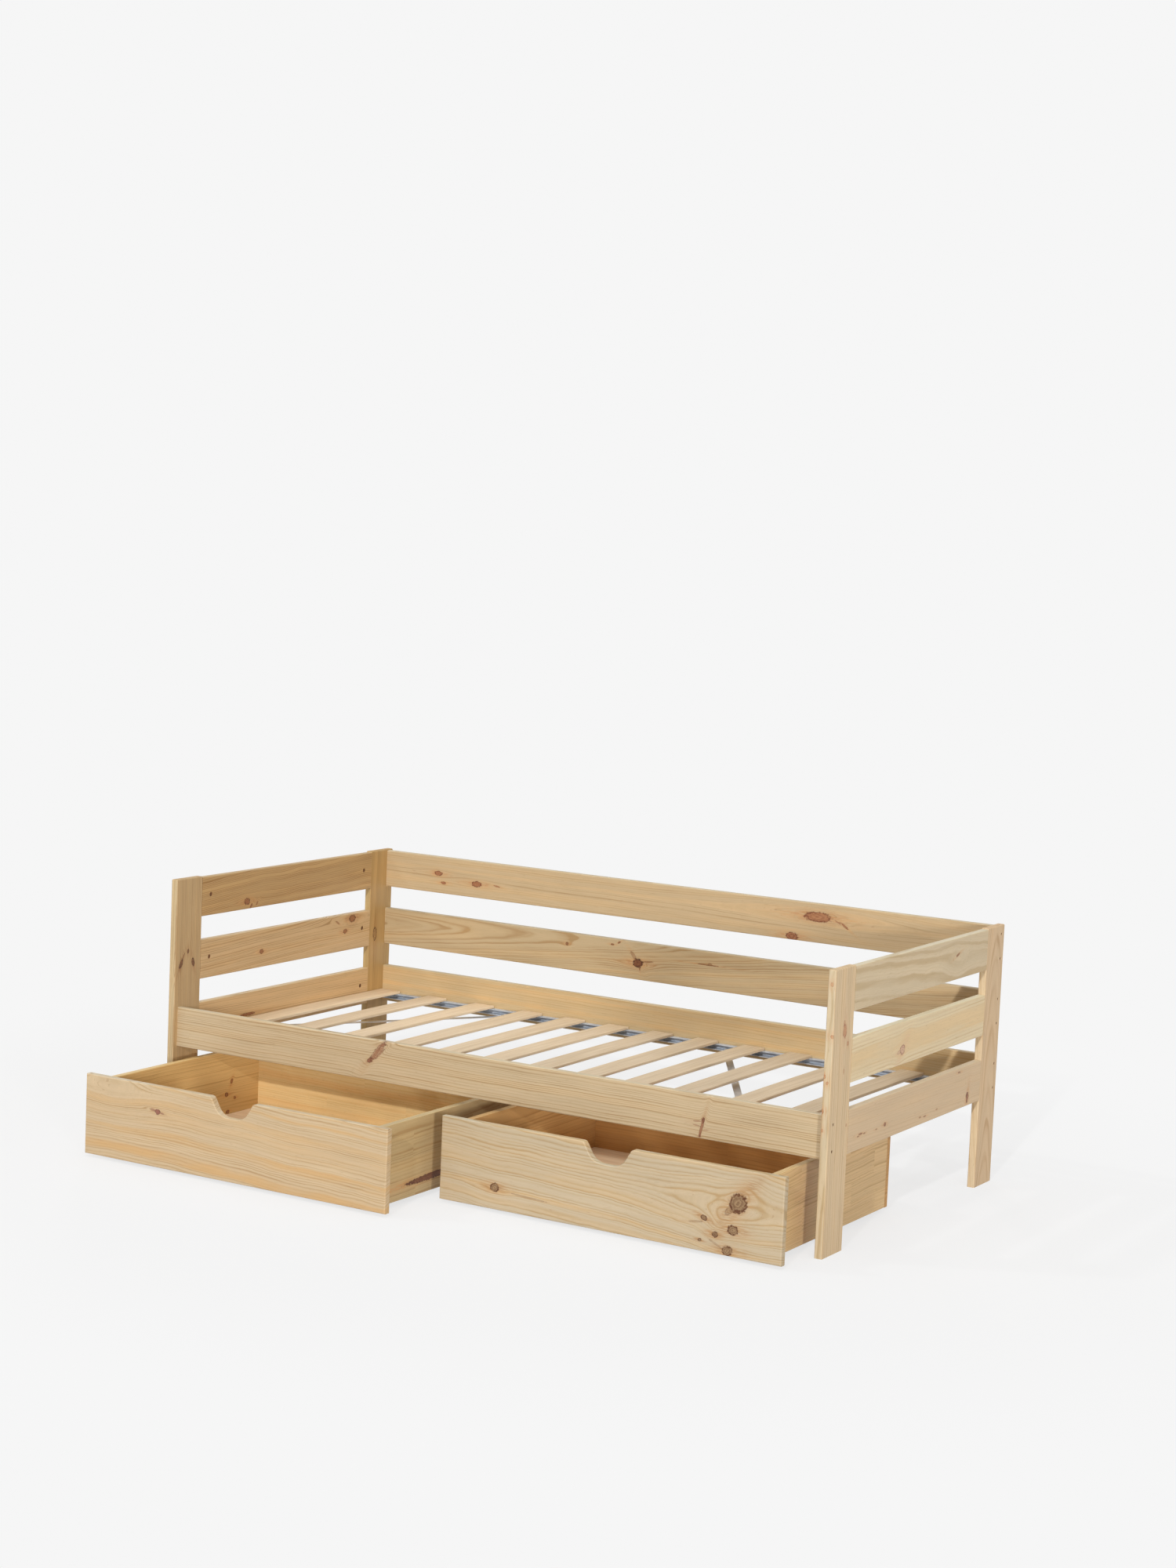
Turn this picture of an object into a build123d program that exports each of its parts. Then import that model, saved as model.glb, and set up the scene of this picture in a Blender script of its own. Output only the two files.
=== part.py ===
from build123d import *
import os
from math import hypot

# Storage daybed of pine boards, with a slatted base on steel side rails and two drawers on castors.
# X runs along the daybed, Y from its front to its back, and Z up from the floor. The origin is on the
# floor, midway along the daybed, and midway between its back and the drawer front that is furthest out.
# Sizes are in millimetres.

# Bed frame over all
length = 1960.0
depth = 985.0
post_height = 678.0

# Planed boards that make the posts and the rails
board_width = 106.0
board_thickness = 20.0
board_rounding = 3.0
rails_in_a_stack = 3
post_over_rail = 3.0
rail_gap = 64.0
front_rail_recess = 15.0
back_rail_recess = 9.0

# Room between a fastener and its hole, and how far a cut runs past the face that it opens
fit_gap = 0.15
cut_overrun = 4.0

# Cam fittings that pull the end rails onto the posts, one at each end of a rail
cam_diameter = 12.0
cam_length = 12.5
cam_recess = 1.5
cam_setback = 36.0
cam_rise = 4.0
cam_slot_width = 1.8
cam_slot_depth = 2.0
cam_slot_share = 0.8
cam_bolt_diameter = 6.0
cam_bolt_hold = 25.0

# Dowels beside each cam fitting
dowel_diameter = 8.0
dowel_length = 34.0
dowel_spread = 64.0

# Screws through the posts into the ends of the back and front rails
rail_screw_head_diameter = 7.2
rail_screw_head_length = 4.0
rail_screw_recess = 1.0
rail_screw_diameter = 5.0
rail_screw_length = 60.0
rail_screw_spread = 64.0
socket_size = 4.0
socket_depth = 2.5

# Steel side rails, a C section with its open side inwards, below the top of the low rails
channel_drop = 78.0
channel_height = 16.0
channel_depth = 20.0
channel_wall = 2.0
channel_bend = 3.0
channel_end_gap = 2.0
channel_screws = 7
channel_screw_margin = 80.0
channel_screw_diameter = 4.0
channel_screw_length = 16.0
channel_screw_head_diameter = 8.0
channel_screw_head_height = 2.2

# Slats, sprung a little upwards
slat_width = 66.0
slat_thickness = 8.0
slat_spring = 2.5
slat_rounding = 2.0
slat_end_room = 8.0
slat_end_gap = 3.0
slat_middle_pitch = 143.0
slats_at_middle_pitch = 3
slats_at_end_pitch = 3
peg_diameter = 5.0
peg_in_slat = 4.0
peg_below_flange = 3.0
peg_spread = 36.0

# Flat steel braces under the side rails, with fixing points as shares of half the length or the depth
brace_width = 20.0
brace_thickness = 1.5
right_brace_back_share = 0.208
right_brace_front_share = 0.772
left_brace_back_share = 0.528
left_brace_side_share = 0.309
brace_tab_height = 24.0
brace_past_bolt = 5.0
brace_bolt_diameter = 5.0
brace_bolt_head_diameter = 9.0
brace_bolt_head_height = 2.5
brace_nut_height = 4.0
brace_screw_length = 14.0

# Drawers, and how far their fronts stand ahead of the posts in the photograph
drawer_gap = 12.0
drawer_lift = 8.0
drawer_gap_above = 14.0
drawer_depth = 652.0
drawer_front_thickness = 20.0
drawer_side_inset = 42.0
drawer_side_thickness = 18.0
drawer_side_lift = 12.0
drawer_side_drop = 8.0
drawer_back_thickness = 16.0
drawer_bottom_thickness = 6.0
drawer_groove = 6.0
drawer_side_rounding = 2.0
left_drawer_out = 355.0
right_drawer_out = 143.0

# Hand cut-out in the top edge of each drawer front
grip_depth = 47.5
grip_top_width = 132.0
grip_bottom_width = 76.0
grip_corner_radius = 42.0
grip_lip_radius = 12.0

# Fixed castors under the drawer bottoms
wheel_diameter = 22.0
wheel_width = 12.0
wheel_rounding = 1.5
wheel_dish = 1.0
wheel_hub_diameter = 9.0
wheel_rim_wall = 3.0
wheel_side_room = 0.5
wheel_top_room = 2.5
axle_diameter = 4.0
axle_running_gap = 0.06
axle_head_diameter = 6.5
axle_head_height = 1.2
castor_plate = 1.5
castor_plate_length = 36.0
castor_plate_width = 26.0
castor_ear_width = 11.0
castor_ear_below_axle = 4.5
castor_side_room = 66.0
castor_end_room = 50.0
castor_screw_diameter = 3.5
castor_screw_length = 6.0
castor_screw_head_diameter = 6.0
castor_screw_head_height = 1.0

# Screws through a drawer's back into its sides
back_screw_diameter = 4.0
back_screw_length = 45.0
back_screw_head_diameter = 7.5
back_screw_head_length = 3.0
back_screw_margin = 45.0

# Places that follow from those sizes
half_length = length / 2
inner_half = half_length - board_thickness
front_y = (max(left_drawer_out, right_drawer_out) - depth) / 2
back_y = front_y + depth
front_rail_y = front_y + front_rail_recess
front_rail_inner_y = front_rail_y + board_thickness
back_rail_inner_y = back_y - back_rail_recess - board_thickness
rail_step = board_width + rail_gap
rail_tops = [post_height - post_over_rail - count * rail_step for count in range(rails_in_a_stack)]
low_rail_top = rail_tops[-1]
low_rail_bottom = low_rail_top - board_width
right_brace_back = half_length * right_brace_back_share
right_brace_front = half_length * right_brace_front_share
left_brace_back = half_length * left_brace_back_share
left_brace_side = depth * left_brace_side_share
level_names = ("top", "middle", "low")
sides = {"left": -1, "right": 1}
channel_top = low_rail_top - channel_drop
channel_bottom = channel_top - channel_height


def block(low, high):
    """A box between two opposite corners."""
    size = [b - a for a, b in zip(low, high)]
    centre = [(a + b) / 2 for a, b in zip(low, high)]
    return Pos(*centre) * Box(*size)


def rod(start, along, reach, diameter):
    """A round rod that starts at a point and runs along a direction."""
    return extrude(Plane(origin=start, z_dir=along) * Circle(diameter / 2), reach)


def hole(start, along, reach, diameter):
    """The hole that such a rod fits, opened past the face that it starts from."""
    opened = [place - step * cut_overrun for place, step in zip(start, along)]
    return rod(opened, along, reach + cut_overrun + fit_gap, diameter + 2 * fit_gap)


def seat(start, along, reach, diameter):
    """A hole whose flat end the fastener's head or tip stands on."""
    opened = [place - step * cut_overrun for place, step in zip(start, along)]
    return rod(opened, along, reach + cut_overrun, diameter + 2 * fit_gap)


def board(low, high, run, rounding):
    """A planed board whose long edges are rounded."""
    plain = block(low, high)
    return fillet(plain.edges().filter_by(run), rounding)


def fastener(start, along, head_diameter, head_length, diameter, reach, socket, socket_deep):
    """A screw whose head begins at a point, with a hexagon socket in the head."""
    head = rod(start, along, head_length, head_diameter)
    neck = [place + step * head_length for place, step in zip(start, along)]
    shank = rod(neck, along, reach - head_length, diameter)
    opened = [place - step * cut_overrun for place, step in zip(start, along)]
    key = extrude(Plane(origin=opened, z_dir=along) * RegularPolygon(socket / 2, 6, major_radius=False),
                  socket_deep + cut_overrun)
    return head + shank - key


def node(*pieces):
    """Separate solids that share one name."""
    return Compound(children=[piece for piece in pieces])


# Places of the fasteners in the frame


def rail_ends():
    """Each end of an end rail: side, rail top, the post's inner edge, and the way from post to rail."""
    for side in sides.values():
        for top in rail_tops:
            yield side, top, front_y + board_width, 1
            yield side, top, back_y - board_width, -1


def cam_centre(side, top, edge_y, way):
    """Where the cam's axis meets the inner face of an end rail."""
    return side * inner_half, edge_y + way * cam_setback, top - board_width / 2 + cam_rise


def cam_bolt_line(side, top, edge_y, way):
    """Start, direction and length of a cam's bolt, from inside the post to the middle of the cam."""
    x = side * (half_length - board_thickness / 2)
    z = top - board_width / 2 + cam_rise
    return (x, edge_y - way * cam_bolt_hold, z), (0, way, 0), cam_bolt_hold + cam_setback


def dowel_line(side, top, edge_y, way, up):
    """Start, direction and length of a dowel, half in the post and half in the rail."""
    x = side * (half_length - board_thickness / 2)
    z = top - board_width / 2 + up * dowel_spread / 2
    return (x, edge_y - way * dowel_length / 2, z), (0, way, 0), dowel_length


def rail_screw_starts():
    """Where each rail screw's head begins: side, and its place on the post."""
    back_middle_y = back_rail_inner_y + board_thickness / 2
    front_middle_y = front_rail_y + board_thickness / 2
    rails = [(back_middle_y, top) for top in rail_tops] + [(front_middle_y, low_rail_top)]
    for side in sides.values():
        for middle_y, top in rails:
            for up in (-1, 1):
                z = top - board_width / 2 + up * rail_screw_spread / 2
                yield side, (side * (half_length - rail_screw_recess), middle_y, z)


# Posts: boards on edge, with every edge but the foot's rounded


def post(side, is_front):
    """A post, drilled for the cam bolts and dowels in its inner edge and the screws through its face."""
    low_y = front_y if is_front else back_y - board_width
    low_x = min(side * half_length, side * inner_half)
    plain = block((low_x, low_y, 0), (low_x + board_thickness, low_y + board_width, post_height))
    top_edges = plain.faces().sort_by(Axis.Z)[-1].edges()
    shape = fillet(plain.edges().filter_by(Axis.Z) + top_edges, board_rounding)
    for end_side, top, edge_y, way in rail_ends():
        if end_side != side or (way > 0) != is_front:
            continue
        start, along, reach = cam_bolt_line(end_side, top, edge_y, way)
        shape -= rod(start, along, reach, cam_bolt_diameter + 2 * fit_gap)
        for up in (-1, 1):
            start, along, reach = dowel_line(end_side, top, edge_y, way, up)
            shape -= rod(start, along, reach, dowel_diameter + 2 * fit_gap)
    for screw_side, start in rail_screw_starts():
        if screw_side != side or (start[1] < low_y) or (start[1] > low_y + board_width):
            continue
        inwards = (-side, 0, 0)
        shape -= seat(start, inwards, rail_screw_head_length, rail_screw_head_diameter)
        shape -= hole(start, inwards, board_thickness, rail_screw_diameter)
    return shape


# End rails: boards between the posts of one end, flush with them


def end_rail(side, top):
    """An end rail, drilled for a cam, its bolt and two dowels at each end."""
    low_x = min(side * half_length, side * inner_half)
    low = (low_x, front_y + board_width, top - board_width)
    high = (low_x + board_thickness, back_y - board_width, top)
    shape = board(low, high, Axis.Y, board_rounding)
    for end_side, end_top, edge_y, way in rail_ends():
        if (end_side, end_top) != (side, top):
            continue
        centre = cam_centre(side, top, edge_y, way)
        shape -= hole(centre, (side, 0, 0), cam_recess + cam_length, cam_diameter)
        start, along, reach = cam_bolt_line(side, top, edge_y, way)
        shape -= rod(start, along, reach, cam_bolt_diameter + 2 * fit_gap)
        for up in (-1, 1):
            start, along, reach = dowel_line(side, top, edge_y, way, up)
            shape -= rod(start, along, reach + fit_gap, dowel_diameter + 2 * fit_gap)
    return shape


def cam(side, top, edge_y, way):
    """A cam with a cross slot in its face and a way in for the bolt's head."""
    face_x, y, z = cam_centre(side, top, edge_y, way)
    start_x = face_x + side * cam_recess
    shape = rod((start_x, y, z), (side, 0, 0), cam_length, cam_diameter)
    start, along, reach = cam_bolt_line(side, top, edge_y, way)
    shape -= rod(start, along, reach + fit_gap, cam_bolt_diameter + 2 * fit_gap)
    long_way = cam_diameter * cam_slot_share
    slot_x = (start_x + side * cam_slot_depth / 2, start_x)
    for across, up in ((long_way, cam_slot_width), (cam_slot_width, long_way)):
        shape -= Pos(slot_x[0], y, z) * Box(cam_slot_depth, across, up)
    return shape


# Back rails and front rail: boards between the two ends, screwed through the posts


def long_rail(low_y, top):
    """A rail along the daybed, drilled in both ends for the screws."""
    low = (-inner_half, low_y, top - board_width)
    high = (inner_half, low_y + board_thickness, top)
    shape = board(low, high, Axis.X, board_rounding)
    for side, start in rail_screw_starts():
        if low_y < start[1] < low_y + board_thickness and low[2] < start[2] < top:
            shape -= rod(start, (-side, 0, 0), rail_screw_length + fit_gap,
                         rail_screw_diameter + 2 * fit_gap)
    return shape


# Steel side rails


def channel_screw_places():
    """X places of the screws along a side rail."""
    reach = inner_half - channel_screw_margin
    step = 2 * reach / (channel_screws - 1)
    return [-reach + count * step for count in range(channel_screws)]


def slat_places():
    """X places of the slats' middles, closer in the middle of the bed than near its ends."""
    last = inner_half - slat_end_gap - slat_width / 2
    end_pitch = (last - slats_at_middle_pitch * slat_middle_pitch) / slats_at_end_pitch
    out = [(count + 1) * slat_middle_pitch for count in range(slats_at_middle_pitch)]
    out += [out[-1] + (count + 1) * end_pitch for count in range(slats_at_end_pitch)]
    return [-place for place in reversed(out)] + [0.0] + out


def peg_places():
    """X places of the pegs at one side of the bed."""
    return [middle + up * peg_spread / 2 for middle in slat_places() for up in (-1, 1)]


def channel_face(is_front):
    """Y of the rail face that a side rail stands against, and the direction from there into the bed."""
    return (front_rail_inner_y, 1) if is_front else (back_rail_inner_y, -1)


def peg_y(is_front):
    """Y of the pegs: midway between the slats' ends and the edge of the flange."""
    face_y, inwards = channel_face(is_front)
    return face_y + inwards * (slat_end_room + channel_depth) / 2


def brace_bolt_y(is_front):
    """Y of the brace bolts: midway between a side rail's wall and the edge of its flange."""
    face_y, inwards = channel_face(is_front)
    return face_y + inwards * (channel_wall + channel_depth) / 2


def brace_bolt_places(is_front):
    """X places of the brace bolts in one side rail."""
    return [right_brace_front] if is_front else [right_brace_back, -left_brace_back]


def steel_rail(is_front):
    """A side rail, bent to a C, drilled for its screws, the slat pegs and the braces."""
    face_y, inwards = channel_face(is_front)
    lip_y = face_y + inwards * channel_depth
    wall_y = face_y + inwards * channel_wall
    low, high = channel_bottom, channel_top
    outline = [(face_y, low), (lip_y, low), (lip_y, low + channel_wall), (wall_y, low + channel_wall),
               (wall_y, high - channel_wall), (lip_y, high - channel_wall), (lip_y, high), (face_y, high)]
    half = inner_half - channel_end_gap
    plane = Plane(origin=(-half, 0, 0), x_dir=(0, 1, 0), z_dir=(1, 0, 0))
    shape = extrude(plane * make_face(Polyline(outline, close=True)), 2 * half)
    lengthwise = shape.edges().filter_by(Axis.X).sort_by(Axis.Y)
    corners = lengthwise[:2] if is_front else lengthwise[-2:]
    shape = fillet(corners, channel_bend)
    middle_z = (low + high) / 2
    for x in channel_screw_places():
        shape -= hole((x, wall_y, middle_z), (0, -inwards, 0), channel_wall + cut_overrun,
                      channel_screw_diameter)
    for x in peg_places():
        shape -= hole((x, peg_y(is_front), high), (0, 0, -1), channel_wall, peg_diameter)
    for x in brace_bolt_places(is_front):
        shape -= hole((x, brace_bolt_y(is_front), low), (0, 0, 1), channel_wall, brace_bolt_diameter)
    return shape


def channel_screw(x, is_front):
    """A pan-headed screw through a side rail's wall into the wooden rail."""
    face_y, inwards = channel_face(is_front)
    wall_y = face_y + inwards * channel_wall
    start = (x, wall_y + inwards * channel_screw_head_height, (channel_bottom + channel_top) / 2)
    return fastener(start, (0, -inwards, 0), channel_screw_head_diameter, channel_screw_head_height,
                    channel_screw_diameter, channel_screw_length, channel_screw_diameter / 2,
                    channel_screw_head_height / 2)


def drilled_for_channel(rail, is_front):
    """A wooden rail with the holes of the steel side rail's screws."""
    face_y, inwards = channel_face(is_front)
    reach = channel_screw_length - channel_screw_head_height - channel_wall
    for x in channel_screw_places():
        start = (x, face_y, (channel_bottom + channel_top) / 2)
        rail -= hole(start, (0, -inwards, 0), reach, channel_screw_diameter)
    return rail


# Slats


def slat(middle):
    """A sprung slat with rounded long edges and blind peg holes near its ends."""
    front_end = front_rail_inner_y + slat_end_room
    back_end = back_rail_inner_y - slat_end_room
    mid_y = (front_end + back_end) / 2
    low = channel_top
    high = low + slat_thickness
    under = ThreePointArc((front_end, low), (mid_y, low + slat_spring), (back_end, low))
    over = ThreePointArc((back_end, high), (mid_y, high + slat_spring), (front_end, high))
    ends = [Line((back_end, low), (back_end, high)), Line((front_end, high), (front_end, low))]
    outline = Curve() + [under, ends[0], over, ends[1]]
    plane = Plane(origin=(middle - slat_width / 2, 0, 0), x_dir=(0, 1, 0), z_dir=(1, 0, 0))
    shape = extrude(plane * make_face(outline), slat_width)
    long_edges = [edge for edge in shape.edges() if edge.length > slat_width * 2]
    shape = fillet(long_edges, slat_rounding)
    for is_front in (True, False):
        for up in (-1, 1):
            start = (middle + up * peg_spread / 2, peg_y(is_front), low)
            shape -= hole(start, (0, 0, 1), peg_in_slat, peg_diameter)
    return shape


def peg(x, is_front):
    """A peg from inside a slat down through the flange."""
    start = (x, peg_y(is_front), channel_top + peg_in_slat)
    return rod(start, (0, 0, -1), peg_in_slat + channel_wall + peg_below_flange, peg_diameter)


# Braces


def strap(start, end, past_start, past_end):
    """A flat strap under the side rails, running past both of its fixing points."""
    across = end[0] - start[0]
    back = end[1] - start[1]
    reach = hypot(across, back)
    way = (across / reach, back / reach)
    first = (start[0] - way[0] * past_start, start[1] - way[1] * past_start)
    low_z = channel_bottom - brace_thickness
    plane = Plane(origin=(first[0], first[1], low_z), x_dir=(way[0], way[1], 0), z_dir=(0, 0, 1))
    whole = past_start + reach + past_end
    flat = plane * (Pos(whole / 2, 0) * Rectangle(whole, brace_width))
    return extrude(flat, brace_thickness)


def right_brace():
    """The brace from the back side rail to the front one."""
    back = (right_brace_back, brace_bolt_y(False))
    front = (right_brace_front, brace_bolt_y(True))
    shape = strap(back, front, brace_past_bolt, brace_past_bolt)
    low_z = channel_bottom - brace_thickness
    for x, y in (back, front):
        shape -= hole((x, y, low_z), (0, 0, 1), brace_thickness, brace_bolt_diameter)
    return shape


def brace_tab_middle():
    """Y of the middle of the left brace's tab on the low end rail."""
    return front_y + left_brace_side


def left_brace():
    """The brace from the back side rail to the left end, where it is bent up against the rail."""
    back = (-left_brace_back, brace_bolt_y(False))
    side = (-inner_half, brace_tab_middle())
    shape = strap(back, side, brace_past_bolt, brace_width)
    low_z = channel_bottom - brace_thickness
    far = -half_length - brace_width
    shape -= block((far, front_y, low_z - cut_overrun), (-inner_half, back_y, channel_bottom + cut_overrun))
    reach = hypot(side[0] - back[0], side[1] - back[1])
    half_tab = brace_width / 2 * reach / abs(side[0] - back[0])
    shape += block((-inner_half, side[1] - half_tab, low_z),
                   (-inner_half + brace_thickness, side[1] + half_tab, low_z + brace_tab_height))
    shape -= hole((back[0], back[1], low_z), (0, 0, 1), brace_thickness, brace_bolt_diameter)
    middle_z = low_z + (brace_thickness + brace_tab_height) / 2
    shape -= hole((-inner_half + brace_thickness, side[1], middle_z), (-1, 0, 0), brace_thickness,
                  channel_screw_diameter)
    return shape


def brace_bolt(x, is_front):
    """A bolt up through a brace and a side rail's lower flange, with its nut above."""
    y = brace_bolt_y(is_front)
    low_z = channel_bottom - brace_thickness
    start = (x, y, low_z - brace_bolt_head_height)
    grip = brace_thickness + channel_wall
    bolt = fastener(start, (0, 0, 1), brace_bolt_head_diameter, brace_bolt_head_height, brace_bolt_diameter,
                    brace_bolt_head_height + grip + brace_bolt_diameter, brace_bolt_diameter / 2,
                    brace_bolt_head_height / 2)
    nut_plane = Plane(origin=(x, y, channel_bottom + channel_wall), z_dir=(0, 0, 1))
    nut = extrude(nut_plane * RegularPolygon(brace_bolt_head_diameter / 2, 6, major_radius=False),
                  brace_nut_height)
    nut -= hole((x, y, channel_bottom + channel_wall), (0, 0, 1), brace_nut_height, brace_bolt_diameter)
    return bolt, nut


def brace_screw_start():
    """Where the head of the left brace's wood screw begins."""
    middle_z = channel_bottom - brace_thickness + (brace_thickness + brace_tab_height) / 2
    return -inner_half + brace_thickness + channel_screw_head_height, brace_tab_middle(), middle_z


# Drawers: a front with a hand cut-out, two sides, a back over the sides' ends, and a bottom in grooves


class Drawer:
    """The places of one drawer, from its bay and how far out it stands."""

    def __init__(self, side, out):
        self.width = (2 * inner_half - 3 * drawer_gap) / 2
        self.left = -inner_half + drawer_gap if side < 0 else drawer_gap / 2
        self.right = self.left + self.width
        self.middle = (self.left + self.right) / 2
        self.front = front_y - out
        self.inner_front = self.front + drawer_front_thickness
        self.back = self.front + drawer_depth
        self.inner_back = self.back - drawer_back_thickness
        self.box_left = self.left + drawer_side_inset
        self.box_right = self.right - drawer_side_inset
        self.top = low_rail_bottom - drawer_gap_above
        self.side_top = self.top - drawer_side_drop
        self.bottom_z = wheel_diameter + wheel_top_room + castor_plate
        self.floor_z = self.bottom_z + drawer_bottom_thickness

    def bottom_panel(self, room):
        """The bottom in its grooves, or those grooves with some room round it."""
        reach = drawer_groove - fit_gap + room
        low = (self.box_left + drawer_side_thickness - reach, self.inner_front - reach, self.bottom_z - room)
        high = (self.box_right - drawer_side_thickness + reach, self.inner_back + reach, self.floor_z + room)
        return block(low, high)

    def cams(self):
        """Each cam in the sides' inner faces: its face x, the way into the side, and its height."""
        for up in (-1, 1):
            z = (drawer_side_lift + self.side_top) / 2 + up * dowel_spread / 2
            yield self.box_left + drawer_side_thickness, -1, z
            yield self.box_right - drawer_side_thickness, 1, z

    def cam_bolt(self, face_x, way, z):
        """Start, direction and length of a bolt from inside the front to the middle of its cam."""
        x = face_x + way * drawer_side_thickness / 2
        hold = drawer_front_thickness / 2
        return (x, self.inner_front - hold, z), (0, 1, 0), hold + cam_setback

    def back_screws(self):
        """Start of each screw's head, flush with the back's outer face."""
        for x in (self.box_left + drawer_side_thickness / 2, self.box_right - drawer_side_thickness / 2):
            for z in (drawer_side_lift + back_screw_margin, self.side_top - back_screw_margin):
                yield x, self.back, z

    def castors(self):
        """The floor point under each wheel, front ones first."""
        for y in (self.inner_front + castor_end_room, self.inner_back - castor_end_room):
            for x in (self.box_left + castor_side_room, self.box_right - castor_side_room):
                yield x, y


def drawer_front(drawer):
    """The front: an outline with the cut-out, its corners rounded, then its edges."""
    half = drawer.width / 2
    grip_z = drawer.top - grip_depth
    grip_half = grip_top_width / 2
    grip_floor = grip_bottom_width / 2
    outline = [(-half, drawer_lift), (half, drawer_lift), (half, drawer.top), (grip_half, drawer.top),
               (grip_floor, grip_z), (-grip_floor, grip_z), (-grip_half, drawer.top), (-half, drawer.top)]
    face = make_face(Polyline(outline, close=True))
    floor_corners = [corner for corner in face.vertices() if abs(corner.Y - grip_z) < fit_gap]
    face = fillet(floor_corners, grip_corner_radius)
    top_corners = [corner for corner in face.vertices() if abs(corner.Y - drawer.top) < fit_gap]
    lips = [corner for corner in top_corners if abs(corner.X) < half - fit_gap]
    face = fillet(lips, grip_lip_radius)
    plane = Plane(origin=(drawer.middle, drawer.inner_front, 0), x_dir=(1, 0, 0), z_dir=(0, -1, 0))
    shape = extrude(plane * face, drawer_front_thickness)
    faces = shape.faces().sort_by(Axis.Y)
    shape = fillet(faces[0].edges() + faces[-1].edges(), board_rounding)
    shape -= drawer.bottom_panel(fit_gap)
    for face_x, way, z in drawer.cams():
        start, along, reach = drawer.cam_bolt(face_x, way, z)
        shape -= rod(start, along, reach, cam_bolt_diameter + 2 * fit_gap)
    return shape


def drawer_side(drawer, way):
    """A side, grooved for the bottom and drilled for its fittings."""
    low_x = drawer.box_left if way < 0 else drawer.box_right - drawer_side_thickness
    low = (low_x, drawer.inner_front, drawer_side_lift)
    high = (low_x + drawer_side_thickness, drawer.inner_back, drawer.side_top)
    shape = board(low, high, Axis.Y, drawer_side_rounding)
    shape -= drawer.bottom_panel(fit_gap)
    for face_x, cam_way, z in drawer.cams():
        if cam_way == way:
            centre = (face_x, drawer.inner_front + cam_setback, z)
            shape -= hole(centre, (way, 0, 0), cam_length, cam_diameter)
            start, along, reach = drawer.cam_bolt(face_x, way, z)
            shape -= rod(start, along, reach, cam_bolt_diameter + 2 * fit_gap)
    for x, y, z in drawer.back_screws():
        if low_x < x < low_x + drawer_side_thickness:
            shape -= rod((x, y, z), (0, -1, 0), back_screw_length + fit_gap,
                         back_screw_diameter + 2 * fit_gap)
    return shape


def drawer_back(drawer):
    """The back, over the ends of the sides."""
    low = (drawer.box_left, drawer.inner_back, drawer_side_lift)
    high = (drawer.box_right, drawer.back, drawer.side_top)
    shape = board(low, high, Axis.X, drawer_side_rounding)
    shape -= drawer.bottom_panel(fit_gap)
    for start in drawer.back_screws():
        shape -= seat(start, (0, -1, 0), back_screw_head_length, back_screw_head_diameter)
        shape -= hole(start, (0, -1, 0), drawer_back_thickness, back_screw_diameter)
    return shape


def drawer_bottom(drawer):
    """The bottom panel, drilled for the castors' screws."""
    shape = drawer.bottom_panel(0)
    for x, y in drawer.castors():
        for way in (-1, 1):
            start = (x + way * castor_screw_x(), y, drawer.bottom_z)
            shape -= hole(start, (0, 0, 1), castor_screw_length - castor_screw_head_height - castor_plate,
                          castor_screw_diameter)
    return shape


def drawer_fittings(drawer):
    """The cams and bolts at the front of a drawer, and the screws at its back."""
    pieces = []
    for face_x, way, z in drawer.cams():
        y = drawer.inner_front + cam_setback
        start, along, reach = drawer.cam_bolt(face_x, way, z)
        body = rod((face_x, y, z), (way, 0, 0), cam_length, cam_diameter)
        body -= rod(start, along, reach + fit_gap, cam_bolt_diameter + 2 * fit_gap)
        long_way = cam_diameter * cam_slot_share
        for across, up in ((long_way, cam_slot_width), (cam_slot_width, long_way)):
            body -= Pos(face_x + way * cam_slot_depth / 2, y, z) * Box(cam_slot_depth, across, up)
        pieces += [body, rod(start, along, reach, cam_bolt_diameter)]
    for start in drawer.back_screws():
        pieces.append(fastener(start, (0, -1, 0), back_screw_head_diameter, back_screw_head_length,
                               back_screw_diameter, back_screw_length, socket_size,
                               back_screw_head_length / 2))
    return node(*pieces)


# Castors: a folded bracket, a riveted axle and a moulded wheel


def castor_screw_x():
    """How far a castor's screws stand from its middle, halfway between an ear and the plate's end."""
    ear_outer = wheel_width / 2 + wheel_side_room + castor_plate
    return (ear_outer + castor_plate_length / 2) / 2


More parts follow.
